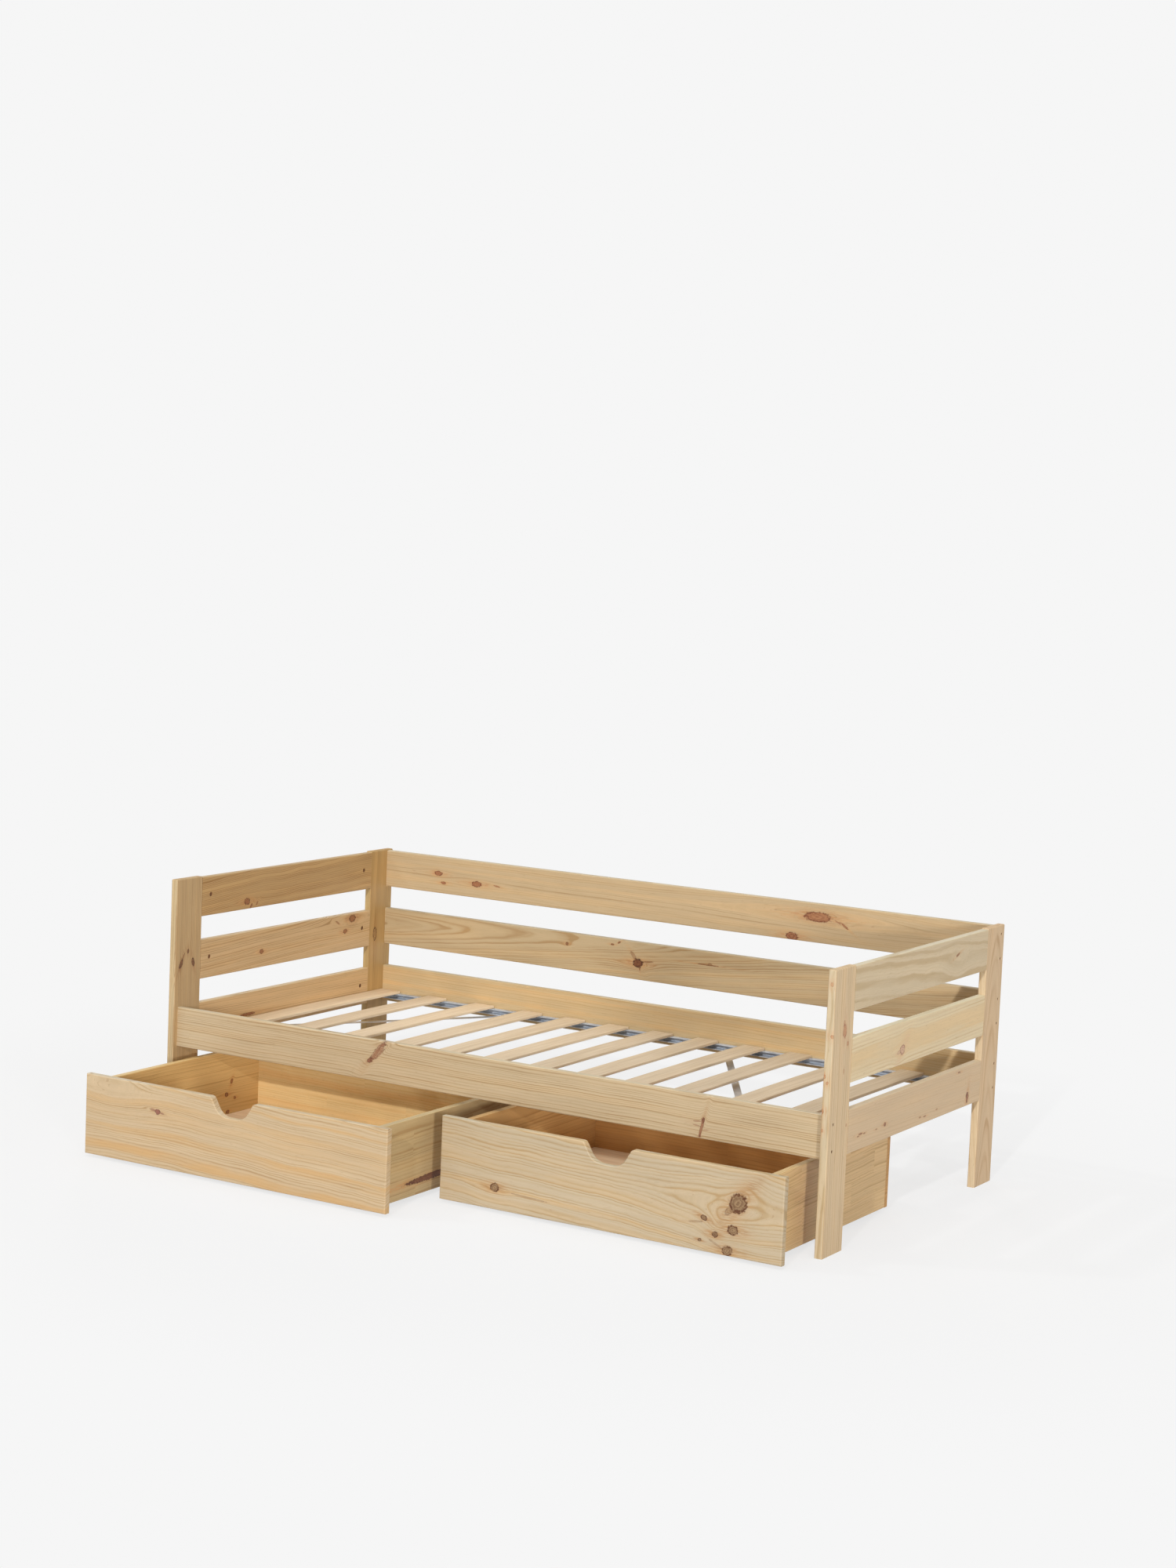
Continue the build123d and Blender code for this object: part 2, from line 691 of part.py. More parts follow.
def castor_frame(drawer, x, y):
    """A bracket with its axle and its two screws."""
    radius = wheel_diameter / 2
    ear_inner = wheel_width / 2 + wheel_side_room
    ear_outer = ear_inner + castor_plate
    plate_low = drawer.bottom_z - castor_plate
    bracket = block((x - castor_plate_length / 2, y - castor_plate_width / 2, plate_low),
                    (x + castor_plate_length / 2, y + castor_plate_width / 2, drawer.bottom_z))
    pieces = []
    for way in (-1, 1):
        near, far = sorted((x + way * ear_inner, x + way * ear_outer))
        bracket += block((near, y - castor_ear_width / 2, radius - castor_ear_below_axle),
                         (far, y + castor_ear_width / 2, drawer.bottom_z))
        screw_x = x + way * castor_screw_x()
        head = (screw_x, y, plate_low - castor_screw_head_height)
        bracket -= hole((screw_x, y, plate_low), (0, 0, 1), castor_plate, castor_screw_diameter)
        pieces.append(fastener(head, (0, 0, 1), castor_screw_head_diameter, castor_screw_head_height,
                               castor_screw_diameter, castor_screw_length, castor_screw_diameter / 2,
                               castor_screw_head_height / 2))
    axle = rod((x - ear_outer, y, radius), (1, 0, 0), 2 * ear_outer, axle_diameter)
    for way in (-1, 1):
        axle += rod((x + way * ear_outer, y, radius), (way, 0, 0), axle_head_height, axle_head_diameter)
    bracket -= rod((x - castor_plate_length, y, radius), (1, 0, 0), 2 * castor_plate_length,
                   axle_diameter + 2 * axle_running_gap)
    return [bracket, axle] + pieces


def castor_wheel(x, y):
    """A wheel with a rounded tread and dished sides round its hub."""
    radius = wheel_diameter / 2
    start_x = x - wheel_width / 2
    shape = rod((start_x, y, radius), (1, 0, 0), wheel_width, wheel_diameter)
    rims = [edge for edge in shape.edges() if edge.geom_type == GeomType.CIRCLE]
    shape = fillet(rims, wheel_rounding)
    for face_x, way in ((start_x, 1), (start_x + wheel_width, -1)):
        dish = rod((face_x, y, radius), (way, 0, 0), wheel_dish, wheel_diameter - 2 * wheel_rim_wall)
        shape -= dish - rod((face_x, y, radius), (way, 0, 0), wheel_dish, wheel_hub_diameter)
    shape -= rod((start_x - cut_overrun, y, radius), (1, 0, 0), wheel_width + 2 * cut_overrun,
                 axle_diameter + 2 * axle_running_gap)
    return shape


# All the nodes by name

nodes = {}

for side_name, side in sides.items():
    nodes[side_name + "_front_post"] = post(side, True)
    nodes[side_name + "_back_post"] = post(side, False)
    for level, rail_top in zip(level_names, rail_tops):
        nodes[side_name + "_end_rail_" + level] = end_rail(side, rail_top)

for level, rail_top in zip(level_names, rail_tops):
    nodes["back_rail_" + level] = long_rail(back_rail_inner_y, rail_top)
nodes["back_rail_low"] = drilled_for_channel(nodes["back_rail_low"], False)
nodes["front_rail"] = drilled_for_channel(long_rail(front_rail_y, low_rail_top), True)

nodes["cams"] = node(*[cam(*end) for end in rail_ends()])
nodes["cam_bolts"] = node(*[rod(*cam_bolt_line(*end), cam_bolt_diameter) for end in rail_ends()])
nodes["dowels"] = node(*[
    rod(*dowel_line(*end, up), dowel_diameter) for end in rail_ends() for up in (-1, 1)])
nodes["rail_screws"] = node(*[
    fastener(start, (-side, 0, 0), rail_screw_head_diameter, rail_screw_head_length, rail_screw_diameter,
             rail_screw_length, socket_size, socket_depth)
    for side, start in rail_screw_starts()])

nodes["front_steel_rail"] = steel_rail(True)
nodes["back_steel_rail"] = steel_rail(False)
nodes["steel_rail_screws"] = node(*[
    channel_screw(x, is_front) for is_front in (True, False) for x in channel_screw_places()])

for count, place in enumerate(slat_places()):
    nodes["slat_" + str(count + 1).zfill(2)] = slat(place)
nodes["slat_pegs"] = node(*[peg(x, is_front) for is_front in (True, False) for x in peg_places()])

nodes["left_brace"] = left_brace()
nodes["right_brace"] = right_brace()
tab_screw = fastener(brace_screw_start(), (-1, 0, 0), channel_screw_head_diameter, channel_screw_head_height,
                     channel_screw_diameter, brace_screw_length, channel_screw_diameter / 2,
                     channel_screw_head_height / 2)
bolts_and_nuts = [piece for is_front in (True, False) for x in brace_bolt_places(is_front)
                  for piece in brace_bolt(x, is_front)]
nodes["brace_fasteners"] = node(tab_screw, *bolts_and_nuts)
nodes["left_end_rail_low"] -= hole((-inner_half, brace_tab_middle(), brace_screw_start()[2]), (-1, 0, 0),
                                   brace_screw_length - channel_screw_head_height - brace_thickness,
                                   channel_screw_diameter)

drawers = {"left": Drawer(-1, left_drawer_out), "right": Drawer(1, right_drawer_out)}
wheel_names = ("front_left", "front_right", "back_left", "back_right")
for name, drawer in drawers.items():
    start_name = name + "_drawer_"
    nodes[start_name + "front"] = drawer_front(drawer)
    nodes[start_name + "left_side"] = drawer_side(drawer, -1)
    nodes[start_name + "right_side"] = drawer_side(drawer, 1)
    nodes[start_name + "back"] = drawer_back(drawer)
    nodes[start_name + "bottom"] = drawer_bottom(drawer)
    nodes[start_name + "fittings"] = drawer_fittings(drawer)
    frames = []
    for wheel_name, (x, y) in zip(wheel_names, drawer.castors()):
        frames += castor_frame(drawer, x, y)
        nodes[start_name + "wheel_" + wheel_name] = castor_wheel(x, y)
    nodes[start_name + "castor_frames"] = node(*frames)

os.makedirs("parts", exist_ok=True)
for name, shape in nodes.items():
    export_step(shape, "parts/" + name + ".step")
print(len(nodes), "nodes")
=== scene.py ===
import math

import bpy
from mathutils import Matrix, Vector


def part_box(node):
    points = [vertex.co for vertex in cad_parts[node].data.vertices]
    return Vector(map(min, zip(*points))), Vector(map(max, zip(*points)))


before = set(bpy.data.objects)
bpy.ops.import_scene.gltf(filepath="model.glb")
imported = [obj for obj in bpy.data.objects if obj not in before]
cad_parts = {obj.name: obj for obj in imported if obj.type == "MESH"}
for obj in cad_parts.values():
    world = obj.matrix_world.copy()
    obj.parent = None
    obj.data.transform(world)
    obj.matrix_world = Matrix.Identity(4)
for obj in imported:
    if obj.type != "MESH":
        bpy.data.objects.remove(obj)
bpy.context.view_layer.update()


# The camera stands to the front right of the daybed, at the eye height of a standing person, and
# looks slightly down on it, so that the front, the right end and the slats all show.
camera_place = Vector((3.7157, -5.9892, 1.7222))
camera_turn, camera_dip, camera_roll = 0.5425, 0.1017, 0.0427
camera_lens, film_width, camera_reach = 63.66, 36.0, 120.0

camera_data = bpy.data.cameras.new("camera")
camera_data.sensor_width = film_width
camera_data.lens = camera_lens
camera_data.clip_end = camera_reach
camera = bpy.data.objects.new("camera", camera_data)
bpy.context.scene.collection.objects.link(camera)
camera.matrix_world = (
    Matrix.Translation(camera_place)
    @ Matrix.Rotation(camera_turn, 4, "Z")
    @ Matrix.Rotation(math.pi / 2 - camera_dip, 4, "X")
    @ Matrix.Rotation(camera_roll, 4, "Z")
)
bpy.context.scene.camera = camera
bpy.context.scene.view_settings.view_transform = "Standard"


# The floor is a wide pale disc that keeps the soft shadow of the daybed. Away from the daybed it
# turns into the colour of the backdrop, so that no horizon shows behind the object.
floor_radius, floor_corners = 45.0, 128
floor_colour = (0.66, 0.66, 0.66)
mottle_fineness, mottle_share = 9.0, 0.005
backdrop_level, near_level, near_share = 0.921, 1.0, 0.72
shadow_reach = (2.0, 1.6)
fade_span = (0.7, 1.6)


def fit(tree, kind, feeds=None, **settings):
    """Adds one shader node, sets it up and feeds its sockets with values or other sockets."""
    made = tree.nodes.new(kind)
    for name, value in settings.items():
        setattr(made, name, value)
    for name, feed in (feeds or {}).items():
        socket = made.inputs[name]
        if isinstance(feed, bpy.types.NodeSocket):
            tree.links.new(feed, socket)
        else:
            socket.default_value = feed
    return made


def figure(tree, operation, *feeds):
    """One step of arithmetic, given as its result."""
    return fit(tree, "ShaderNodeMath", dict(enumerate(feeds)), operation=operation).outputs[0]


def spread(tree, feed, low, high, to_low=0.0, to_high=1.0, curve="SMOOTHSTEP"):
    """Takes a value that runs from low to high to one that runs from to_low to to_high."""
    feeds = {"Value": feed, "From Min": low, "From Max": high, "To Min": to_low, "To Max": to_high}
    return fit(tree, "ShaderNodeMapRange", feeds, interpolation_type=curve).outputs["Result"]


def vector(tree, operation, *feeds):
    """One step of arithmetic on places or colours, given as its result."""
    out = "Value" if operation == "LENGTH" else "Vector"
    return fit(tree, "ShaderNodeVectorMath", dict(enumerate(feeds)), operation=operation).outputs[out]


def scaled(tree, feed, factor):
    """A place or colour times one factor."""
    return fit(tree, "ShaderNodeVectorMath", {0: feed, "Scale": factor}, operation="SCALE").outputs[0]


def cloud(tree, place, detail, fineness=1.0, **settings):
    """Soft noise: a value about the middle of 0 to 1, and three more as a colour."""
    feeds = {"Vector": place, "Scale": fineness, "Detail": detail}
    return fit(tree, "ShaderNodeTexNoise", feeds, **settings).outputs


def rays_that_see_the_backdrop(tree):
    """1 for what is seen straight on, mirrored or through glass, and 0 for the light itself."""
    rays = fit(tree, "ShaderNodeLightPath").outputs
    seen = figure(tree, "MAXIMUM", rays["Is Camera Ray"], rays["Is Glossy Ray"])
    return figure(tree, "MAXIMUM", seen, rays["Is Transmission Ray"])


def new_material(name):
    """An empty material, given with its node tree."""
    made = bpy.data.materials.new(name)
    made.use_nodes = True
    made.node_tree.nodes.clear()
    return made, made.node_tree


bpy.ops.mesh.primitive_circle_add(vertices=floor_corners, radius=floor_radius, fill_type="NGON")
floor = bpy.context.object
floor.name = "floor"
floor_material, tree = new_material("pale floor")
spot = fit(tree, "ShaderNodeTexCoord").outputs["Object"]
near = vector(tree, "MULTIPLY", spot, (1 / shadow_reach[0], 1 / shadow_reach[1], 1.0))
away = vector(tree, "LENGTH", near)
fade = spread(tree, away, *fade_span, near_share, 1.0)
share = figure(tree, "MULTIPLY", fade, rays_that_see_the_backdrop(tree))
mottle = cloud(tree, spot, detail=3.0, fineness=mottle_fineness)["Fac"]
mottle = spread(tree, mottle, 0.0, 1.0, 1 - mottle_share, 1 + mottle_share, "LINEAR")
matt = fit(tree, "ShaderNodeBsdfDiffuse", {"Color": scaled(tree, floor_colour, mottle)})
level = spread(tree, away, *fade_span, near_level, backdrop_level)
glow = fit(tree, "ShaderNodeEmission", {"Strength": level})
blend = fit(tree, "ShaderNodeMixShader", {0: share, 1: matt.outputs[0], 2: glow.outputs[0]})
fit(tree, "ShaderNodeOutputMaterial", {"Surface": blend.outputs[0]})
floor.data.materials.append(floor_material)


# The light is that of a plain studio: a pale room that is brightest overhead, a strong lamp far off
# in front, a wide one low down at the front right, a weak one high up at the left, and a soft one
# behind, for the back and the left end, that gives no glints.
white = (1.0, 1.0, 1.0, 1.0)
room_at_eye_level, room_overhead, room_gathered = 0.12, 2.2, 6.0
front_lamp_power, front_lamp_size, front_lamp_at = 7000.0, 0.75, Vector((8.9, -35.4, 17.1))
side_lamp_power, side_lamp_size, side_lamp_at = 2225.0, 2.4, Vector((18.0, -15.2, 3.2))
left_lamp_power, left_lamp_size, left_lamp_at = 770.0, 1.2, Vector((-14.9, -8.4, 17.4))
back_lamp_power, back_lamp_size, back_lamp_at = 3150.0, 5.0, Vector((-20.0, 25.0, 4.0))
lamp_aim = Vector((0.0, 0.0, 0.3))

world = bpy.data.worlds.new("studio room")
bpy.context.scene.world = world
world.use_nodes = True
tree = world.node_tree
tree.nodes.clear()
towards = fit(tree, "ShaderNodeTexCoord").outputs["Generated"]
height = fit(tree, "ShaderNodeSeparateXYZ", {0: towards}).outputs[2]
height = figure(tree, "POWER", figure(tree, "MAXIMUM", height, 0.0), room_gathered)
room = spread(tree, height, 0.0, 1.0, room_at_eye_level, room_overhead, "LINEAR")
lit = fit(tree, "ShaderNodeBackground", {"Color": white, "Strength": room})
seen = fit(tree, "ShaderNodeBackground", {"Color": white, "Strength": backdrop_level})
share = rays_that_see_the_backdrop(tree)
blend = fit(tree, "ShaderNodeMixShader", {0: share, 1: lit.outputs[0], 2: seen.outputs[0]})
fit(tree, "ShaderNodeOutputWorld", {"Surface": blend.outputs[0]})

for name, power, size, place, gives_glints in (
    ("front_lamp", front_lamp_power, front_lamp_size, front_lamp_at, True),
    ("side_lamp", side_lamp_power, side_lamp_size, side_lamp_at, True),
    ("left_lamp", left_lamp_power, left_lamp_size, left_lamp_at, True),
    ("back_lamp", back_lamp_power, back_lamp_size, back_lamp_at, False),
):
    lamp_data = bpy.data.lights.new(name, "AREA")
    lamp_data.energy = power
    lamp_data.size = size
    lamp = bpy.data.objects.new(name, lamp_data)
    bpy.context.scene.collection.objects.link(lamp)
    lamp.location = place
    lamp.rotation_euler = (lamp_aim - place).to_track_quat("-Z", "Y").to_euler()
    lamp.visible_camera = False
    lamp.visible_glossy = gives_glints


# The four posts are flat pine boards that stand upright, planed, with slightly rounded edges and a
# clear satin lacquer. The left ones show their inner faces, the right ones their outer faces.
millimetres = 1000.0
end_from_to, painted_edge_from_to = (0.75, 0.97), (0.5, 0.95)
middle_of_noise = (0.25, 0.75)
fibre_dark, fibre_pale = 0.94, 1.05
fleck_brown, fleck_share = (150, 108, 70), 0.3
orange_band = (222, 178, 118)
# The narrow faces of every board are painted paler and bluer, a painted highlight for the light they
# catch. The right front post's front face gets a weaker, less orange tint of its own.
plain_face, painted_edge_highlight = white, (1.05, 1.15, 1.26, 1.0)
right_front_painted_edge = (0.91, 0.99, 1.08, 1.0)
satin_rough, fibre_rough, end_rough, lacquer_shine = 0.46, 0.10, 0.14, 0.35
line_relief, fibre_relief, rim_relief, relief_share = 0.00005, 0.00008, 0.00025, 0.5


def tint(red, green, blue):
    """A colour as it looks on a screen, 0 to 255, turned into the plain light that it sends."""
    parts = [v / 255 for v in (red, green, blue)]
    parts = [v / 12.92 if v <= 0.04045 else ((v + 0.055) / 1.055) ** 2.4 for v in parts]
    return (*parts, 1.0)


def product(tree, first, *others):
    """The first value times each of the others."""
    for other in others:
        first = figure(tree, "MULTIPLY", first, other)
    return first


def total(tree, first, *others):
    """The first value with each of the others added."""
    for other in others:
        first = figure(tree, "ADD", first, other)
    return first


def bell(tree, *distances):
    """1 in the middle, falling smoothly to 0 as the distances from it grow."""
    squares = [figure(tree, "POWER", distance, 2.0) for distance in distances]
    return figure(tree, "EXPONENT", product(tree, total(tree, *squares), -1.0))


def parts_of(tree, feed):
    """The three parts of a place or colour."""
    return fit(tree, "ShaderNodeSeparateXYZ", {0: feed}).outputs


def joined(tree, *feeds):
    """Three values as one place."""
    return fit(tree, "ShaderNodeCombineXYZ", dict(enumerate(feeds))).outputs[0]


def mixed(tree, share, first, second):
    """The first colour, with a share of it replaced by the second."""
    return fit(tree, "ShaderNodeMix", {0: share, 6: first, 7: second}, data_type="RGBA").outputs[2]


def swing(tree, noise):
    """Noise that swings about 0, where it swung about its middle."""
    return figure(tree, "SUBTRACT", noise, 0.5)


def streaky(tree, place, grain, shift, detail):
    """Noise that is drawn out along the board, by so many waves to the millimetre each way."""
    place = vector(tree, "ADD", vector(tree, "MULTIPLY", place, grain), shift)
    return cloud(tree, place, detail)["Fac"]


def by_the_year(tree, year, detail):
    """Noise that only changes from one ring to the next."""
    feeds = {"W": year, "Scale": 1.0, "Detail": detail}
    return fit(tree, "ShaderNodeTexNoise", feeds, noise_dimensions="1D").outputs["Fac"]


def drawn_for(tree, number):
    """A draw from 0 to 1 for each number, the same in every run."""
    return fit(tree, "ShaderNodeTexWhiteNoise", {"W": number}, noise_dimensions="1D").outputs["Value"]


def new_group(name, takes, gives):
    """A group of shader nodes, given with what feeds it and what it feeds."""
    group = bpy.data.node_groups.new(name, "ShaderNodeTree")
    for way, sockets in (("INPUT", takes), ("OUTPUT", gives)):
        for label, kind in sockets.items():
            group.interface.new_socket(name=label, in_out=way, socket_type="NodeSocket" + kind)
    return group, fit(group, "NodeGroupInput").outputs, fit(group, "NodeGroupOutput").inputs


def use_group(tree, group, feeds):
    """A node group put to use in another tree."""
    return fit(tree, "ShaderNodeGroup", feeds, node_tree=group).outputs


def skin_of(tree, colour, gloss, height, specular=None, metallic=None):
    """The finished surface: colour, gloss and fine relief."""
    bump = fit(tree, "ShaderNodeBump", {"Height": height, "Distance": 1.0, "Strength": relief_share})
    feeds = {"Base Color": colour, "Roughness": gloss, "Normal": bump.outputs[0]}
    skin = fit(tree, "ShaderNodeBsdfPrincipled", feeds)
    if specular is not None:
        skin.inputs["Specular IOR Level"].default_value = specular
    if metallic is not None:
        skin.inputs["Metallic"].default_value = metallic
    fit(tree, "ShaderNodeOutputMaterial", {"Surface": skin.outputs[0]})


def dress(node, material):
    """Gives a CAD node its finish."""
    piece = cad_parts[node]
    if piece.material_slots:
        for held in piece.material_slots:
            held.material = material
    else:
        piece.data.materials.append(material)


# A knot is a branch that the board cuts through: a reddish core with its own rings, a broken dark
# rim, cracks that trail off along the grain, and rings of the board that bend round it. Distances
# in it are counted in knot sizes, and the fineness of its noise in waves to the millimetre.
knot_red, knot_rim, knot_glow = (160, 104, 66), (92, 52, 34), (204, 146, 88)
knot_growth = 1.3
knot_shares = {"Core": 0.92, "Swirl": 0.45, "Rim": 1.0, "Halo": 0.75, "Tail": 0.55}
core_edge, core_rings = (0.8, 1.02), 15.0
raggedness, grit_fineness = 0.85, 0.15
rim_at, rim_width, rim_gaps, rim_in_gaps = 0.94, 0.30, (0.38, 0.54), 0.35
halo_stretch, halo_reach, halo_gathered = (0.42, 1.0, 1.0), 2.1, 2.6
crack_grain, crack_edge, resin_edge, resin_least = (0.035, 0.40, 0.40), (0.45, 0.6), (0.36, 0.6), 0.25
tail_length, tail_width = 4.2, 0.55
bend_across, bend_deep = -1.45, 0.7

knot_group, given, result = new_group(
    "knot in pine",
    {"Place": "Vector", "Centre": "Vector", "Shape": "Vector", "Tilt": "Float", "Size": "Float",
     "Strength": "Float", "Push": "Vector", **{label: "Float" for label in knot_shares}},
    {"Push": "Vector", **{label: "Float" for label in knot_shares}},
)
tree = knot_group
size = given["Size"]

# How far a place lies from the middle of the knot, with a ragged outline.
grit = parts_of(tree, cloud(tree, given["Place"], detail=3.0, fineness=grit_fineness)["Color"])
away = vector(tree, "SUBTRACT", given["Place"], given["Centre"])
feeds = {"Vector": away, "Angle": product(tree, given["Tilt"], -1.0)}
turned = fit(tree, "ShaderNodeVectorRotate", feeds, rotation_type="Z_AXIS").outputs[0]
shaped = vector(tree, "MULTIPLY", turned, given["Shape"])
far = figure(tree, "DIVIDE", vector(tree, "LENGTH", shaped), size)
far = total(tree, far, product(tree, swing(tree, grit[0]), raggedness))

# The core with its own rings, and the broken rim round it.
inside = spread(tree, far, *core_edge, 1.0, 0.0)
wave = figure(tree, "SINE", product(tree, far, core_rings))
swirl = product(tree, inside, spread(tree, wave, -1.0, 1.0))
off_rim = figure(tree, "ABSOLUTE", figure(tree, "SUBTRACT", far, rim_at))
rim = product(tree, spread(tree, off_rim, 0.0, rim_width, 1.0, 0.0),
              spread(tree, grit[1], *rim_gaps, rim_in_gaps, 1.0))

# The wood round the knot that it bends and colours, and the cracks that trail off from it.
reach = vector(tree, "LENGTH", vector(tree, "MULTIPLY", shaped, halo_stretch))
halo = bell(tree, figure(tree, "DIVIDE", reach, product(tree, size, halo_reach)))
turned_along, turned_across, _ = parts_of(
    tree, vector(tree, "DIVIDE", turned, joined(tree, size, size, size)))
trail = bell(tree, figure(tree, "DIVIDE", turned_along, tail_length),
             figure(tree, "DIVIDE", turned_across, tail_width))
streaks = cloud(tree, vector(tree, "MULTIPLY", given["Place"], crack_grain), detail=2.0)["Fac"]
trail = product(tree, trail, spread(tree, streaks, *crack_edge))
resin = product(tree, figure(tree, "POWER", halo, halo_gathered),
                spread(tree, streaks, *resin_edge, resin_least, 1.0))

# The rings of the board part before the knot and close behind it.
across_away = parts_of(tree, away)[1]
easing = total(tree, figure(tree, "DIVIDE", figure(tree, "ABSOLUTE", across_away), size), 1.0)
squeeze = figure(tree, "DIVIDE", product(tree, across_away, halo, bend_across), easing)
lift = product(tree, size, halo, bend_deep)
push = vector(tree, "ADD", given["Push"], joined(tree, 0.0, squeeze, lift))
tree.links.new(push, result["Push"])

for label, feed in zip(knot_shares, (inside, swirl, rim, resin, trail)):
    feed = product(tree, feed, given["Strength"])
    tree.links.new(figure(tree, "MAXIMUM", given[label], feed), result[label])


# Pine grows in rings round its heart: each is pale at first and ends in a thin darker line. The
# board is sawn out of those rings, so its faces show stripes or arches, and its ends show arcs.
# The seed takes each board to its own part of the noise.
seed_across, seed_drift, seed_year, seed_band = 3.7, 5.3, 17.0, 2.3
heart_drift_length = 330.0
ripple_grain = (1 / 70, 1 / 24, 1 / 24)
year_change, year_share = 0.31, 2.2
ring_start, ring_profile = 0.40, ((0.12, 0.02), (0.42, 0.05), (0.68, 0.42), (0.82, 1.0), (0.92, 1.0))
line_faintest, line_boldest = 0.35, 1.5
fading_grain, fading_edge, fading_from_to = (1 / 210, 1 / 20, 1 / 20), (0.36, 0.64), (0.5, 1.15)
band_change, band_edge = 0.27, (0.44, 0.68)
tone_grain, tone_edge, band_least = (1 / 260, 1 / 34, 1 / 34), (0.3, 0.6), 0.3
fibre_grain = (0.014, 0.62, 0.62)
fleck_grain, fleck_edge = (0.05, 0.62, 0.62), (0.66, 0.76)

pine_group, given, result = new_group(
    "rings of pine",
    {"Place": "Vector", "Push": "Vector", "Heart": "Vector", "Lean": "Float", "Taper": "Float",
     "Ring": "Float", "Wander": "Float", "Ripple": "Float", "Seed": "Float"},
    {"Line": "Float", "Band": "Float", "Tone": "Float", "Fibre": "Float", "Fleck": "Float"},
)
tree = pine_group
seed = given["Seed"]

# Where a place lies from the heart, which leans and wanders a little along the board.
seed_place = joined(tree, seed, product(tree, seed, seed_across), seed)
place = vector(tree, "ADD", given["Place"], given["Push"])
along, across, deep = parts_of(tree, place)
_, heart_across, heart_deep = parts_of(tree, given["Heart"])
drift_place = joined(tree, figure(tree, "DIVIDE", along, heart_drift_length),
                     product(tree, seed, seed_drift), 0.0)
drift = parts_of(tree, cloud(tree, drift_place, detail=1.5, noise_dimensions="2D")["Color"])
across = figure(tree, "SUBTRACT", figure(tree, "SUBTRACT", across, heart_across),
                product(tree, along, given["Lean"]))
across = total(tree, across, product(tree, swing(tree, drift[0]), given["Wander"]))
deep = figure(tree, "SUBTRACT", deep, heart_deep)
deep = total(tree, deep, product(tree, swing(tree, drift[1]), given["Wander"]))

# The rings are counted outwards from the heart. They are not quite round, nor equally wide.
ripple = swing(tree, streaky(tree, place, ripple_grain, seed_place, detail=2.0))
ripple = product(tree, ripple, given["Ring"], given["Ripple"])
radius = vector(tree, "LENGTH", joined(tree, 0.0, across, deep))
radius = total(tree, radius, product(tree, along, given["Taper"]), ripple)
count = figure(tree, "DIVIDE", radius, given["Ring"])
years = by_the_year(tree, total(tree, product(tree, count, year_change), seed), detail=1.0)
count = total(tree, count, product(tree, years, year_share))

# The dark line that ends each ring is bolder in some years, and fades here and there.
line = fit(tree, "ShaderNodeValToRGB", {"Fac": figure(tree, "FRACT", count)})
stops = line.color_ramp.elements
for stop, position in zip(stops, (0.0, 1.0)):
    stop.position, stop.color = position, (ring_start, ring_start, ring_start, 1.0)
for position, level in ring_profile:
    stops.new(position).color = (level, level, level, 1.0)
year = total(tree, figure(tree, "FLOOR", count), product(tree, seed, seed_year))
vigour = spread(tree, drawn_for(tree, year), 0.0, 1.0, line_faintest, line_boldest, "LINEAR")
fading = streaky(tree, place, fading_grain, seed_place, detail=2.0)
fading = spread(tree, fading, *fading_edge, *fading_from_to)
tree.links.new(product(tree, line.outputs["Color"], vigour, fading), result["Line"])

# Some groups of rings are warmer, and the tone, the fibres and the flecks vary over the board.
band = total(tree, product(tree, count, band_change), product(tree, seed, seed_band))
band = by_the_year(tree, band, detail=0.6)
tone = streaky(tree, place, tone_grain, seed_place, detail=2.0)
band = product(tree, spread(tree, band, *band_edge), spread(tree, tone, *tone_edge, band_least, 1.0))
tree.links.new(band, result["Band"])
tree.links.new(tone, result["Tone"])
fibre = streaky(tree, place, fibre_grain, seed_place, detail=3.0)
tree.links.new(fibre, result["Fibre"])
fleck = streaky(tree, place, fleck_grain, seed_place, detail=1.0)
tree.links.new(spread(tree, fleck, *fleck_edge), result["Fleck"])


# The drawer sides and backs are glued up from strips, and each strip from short blocks. A block
# comes from another place in the log than its neighbours, so that its tone and rings differ.
strip_width, strip_stagger, block_length = 64.0, 137.0, 260.0
strip_seed, block_seed = 7.3, 61.0
block_ring_jump = 90.0


def board_place(tree, node):
    """The place in a board in millimetres from its middle: along it, across its face, and deep.

    With it come how far the surface faces along the board, and how far across its face. A board
    is longest along and thinnest deep, whichever way it stands in the daybed.
    """
    low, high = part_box(node)
    order = sorted(range(3), key=lambda axis: low[axis] - high[axis])
    spot = fit(tree, "ShaderNodeTexCoord").outputs
    middle = tuple((low + high) / 2)
    from_middle = vector(tree, "SUBTRACT", spot["Object"], middle)
    from_middle = parts_of(tree, vector(tree, "MULTIPLY", from_middle, (millimetres,) * 3))
    facing = parts_of(tree, spot["Normal"])
    return joined(tree, *(from_middle[axis] for axis in order)), facing[order[0]], facing[order[1]]


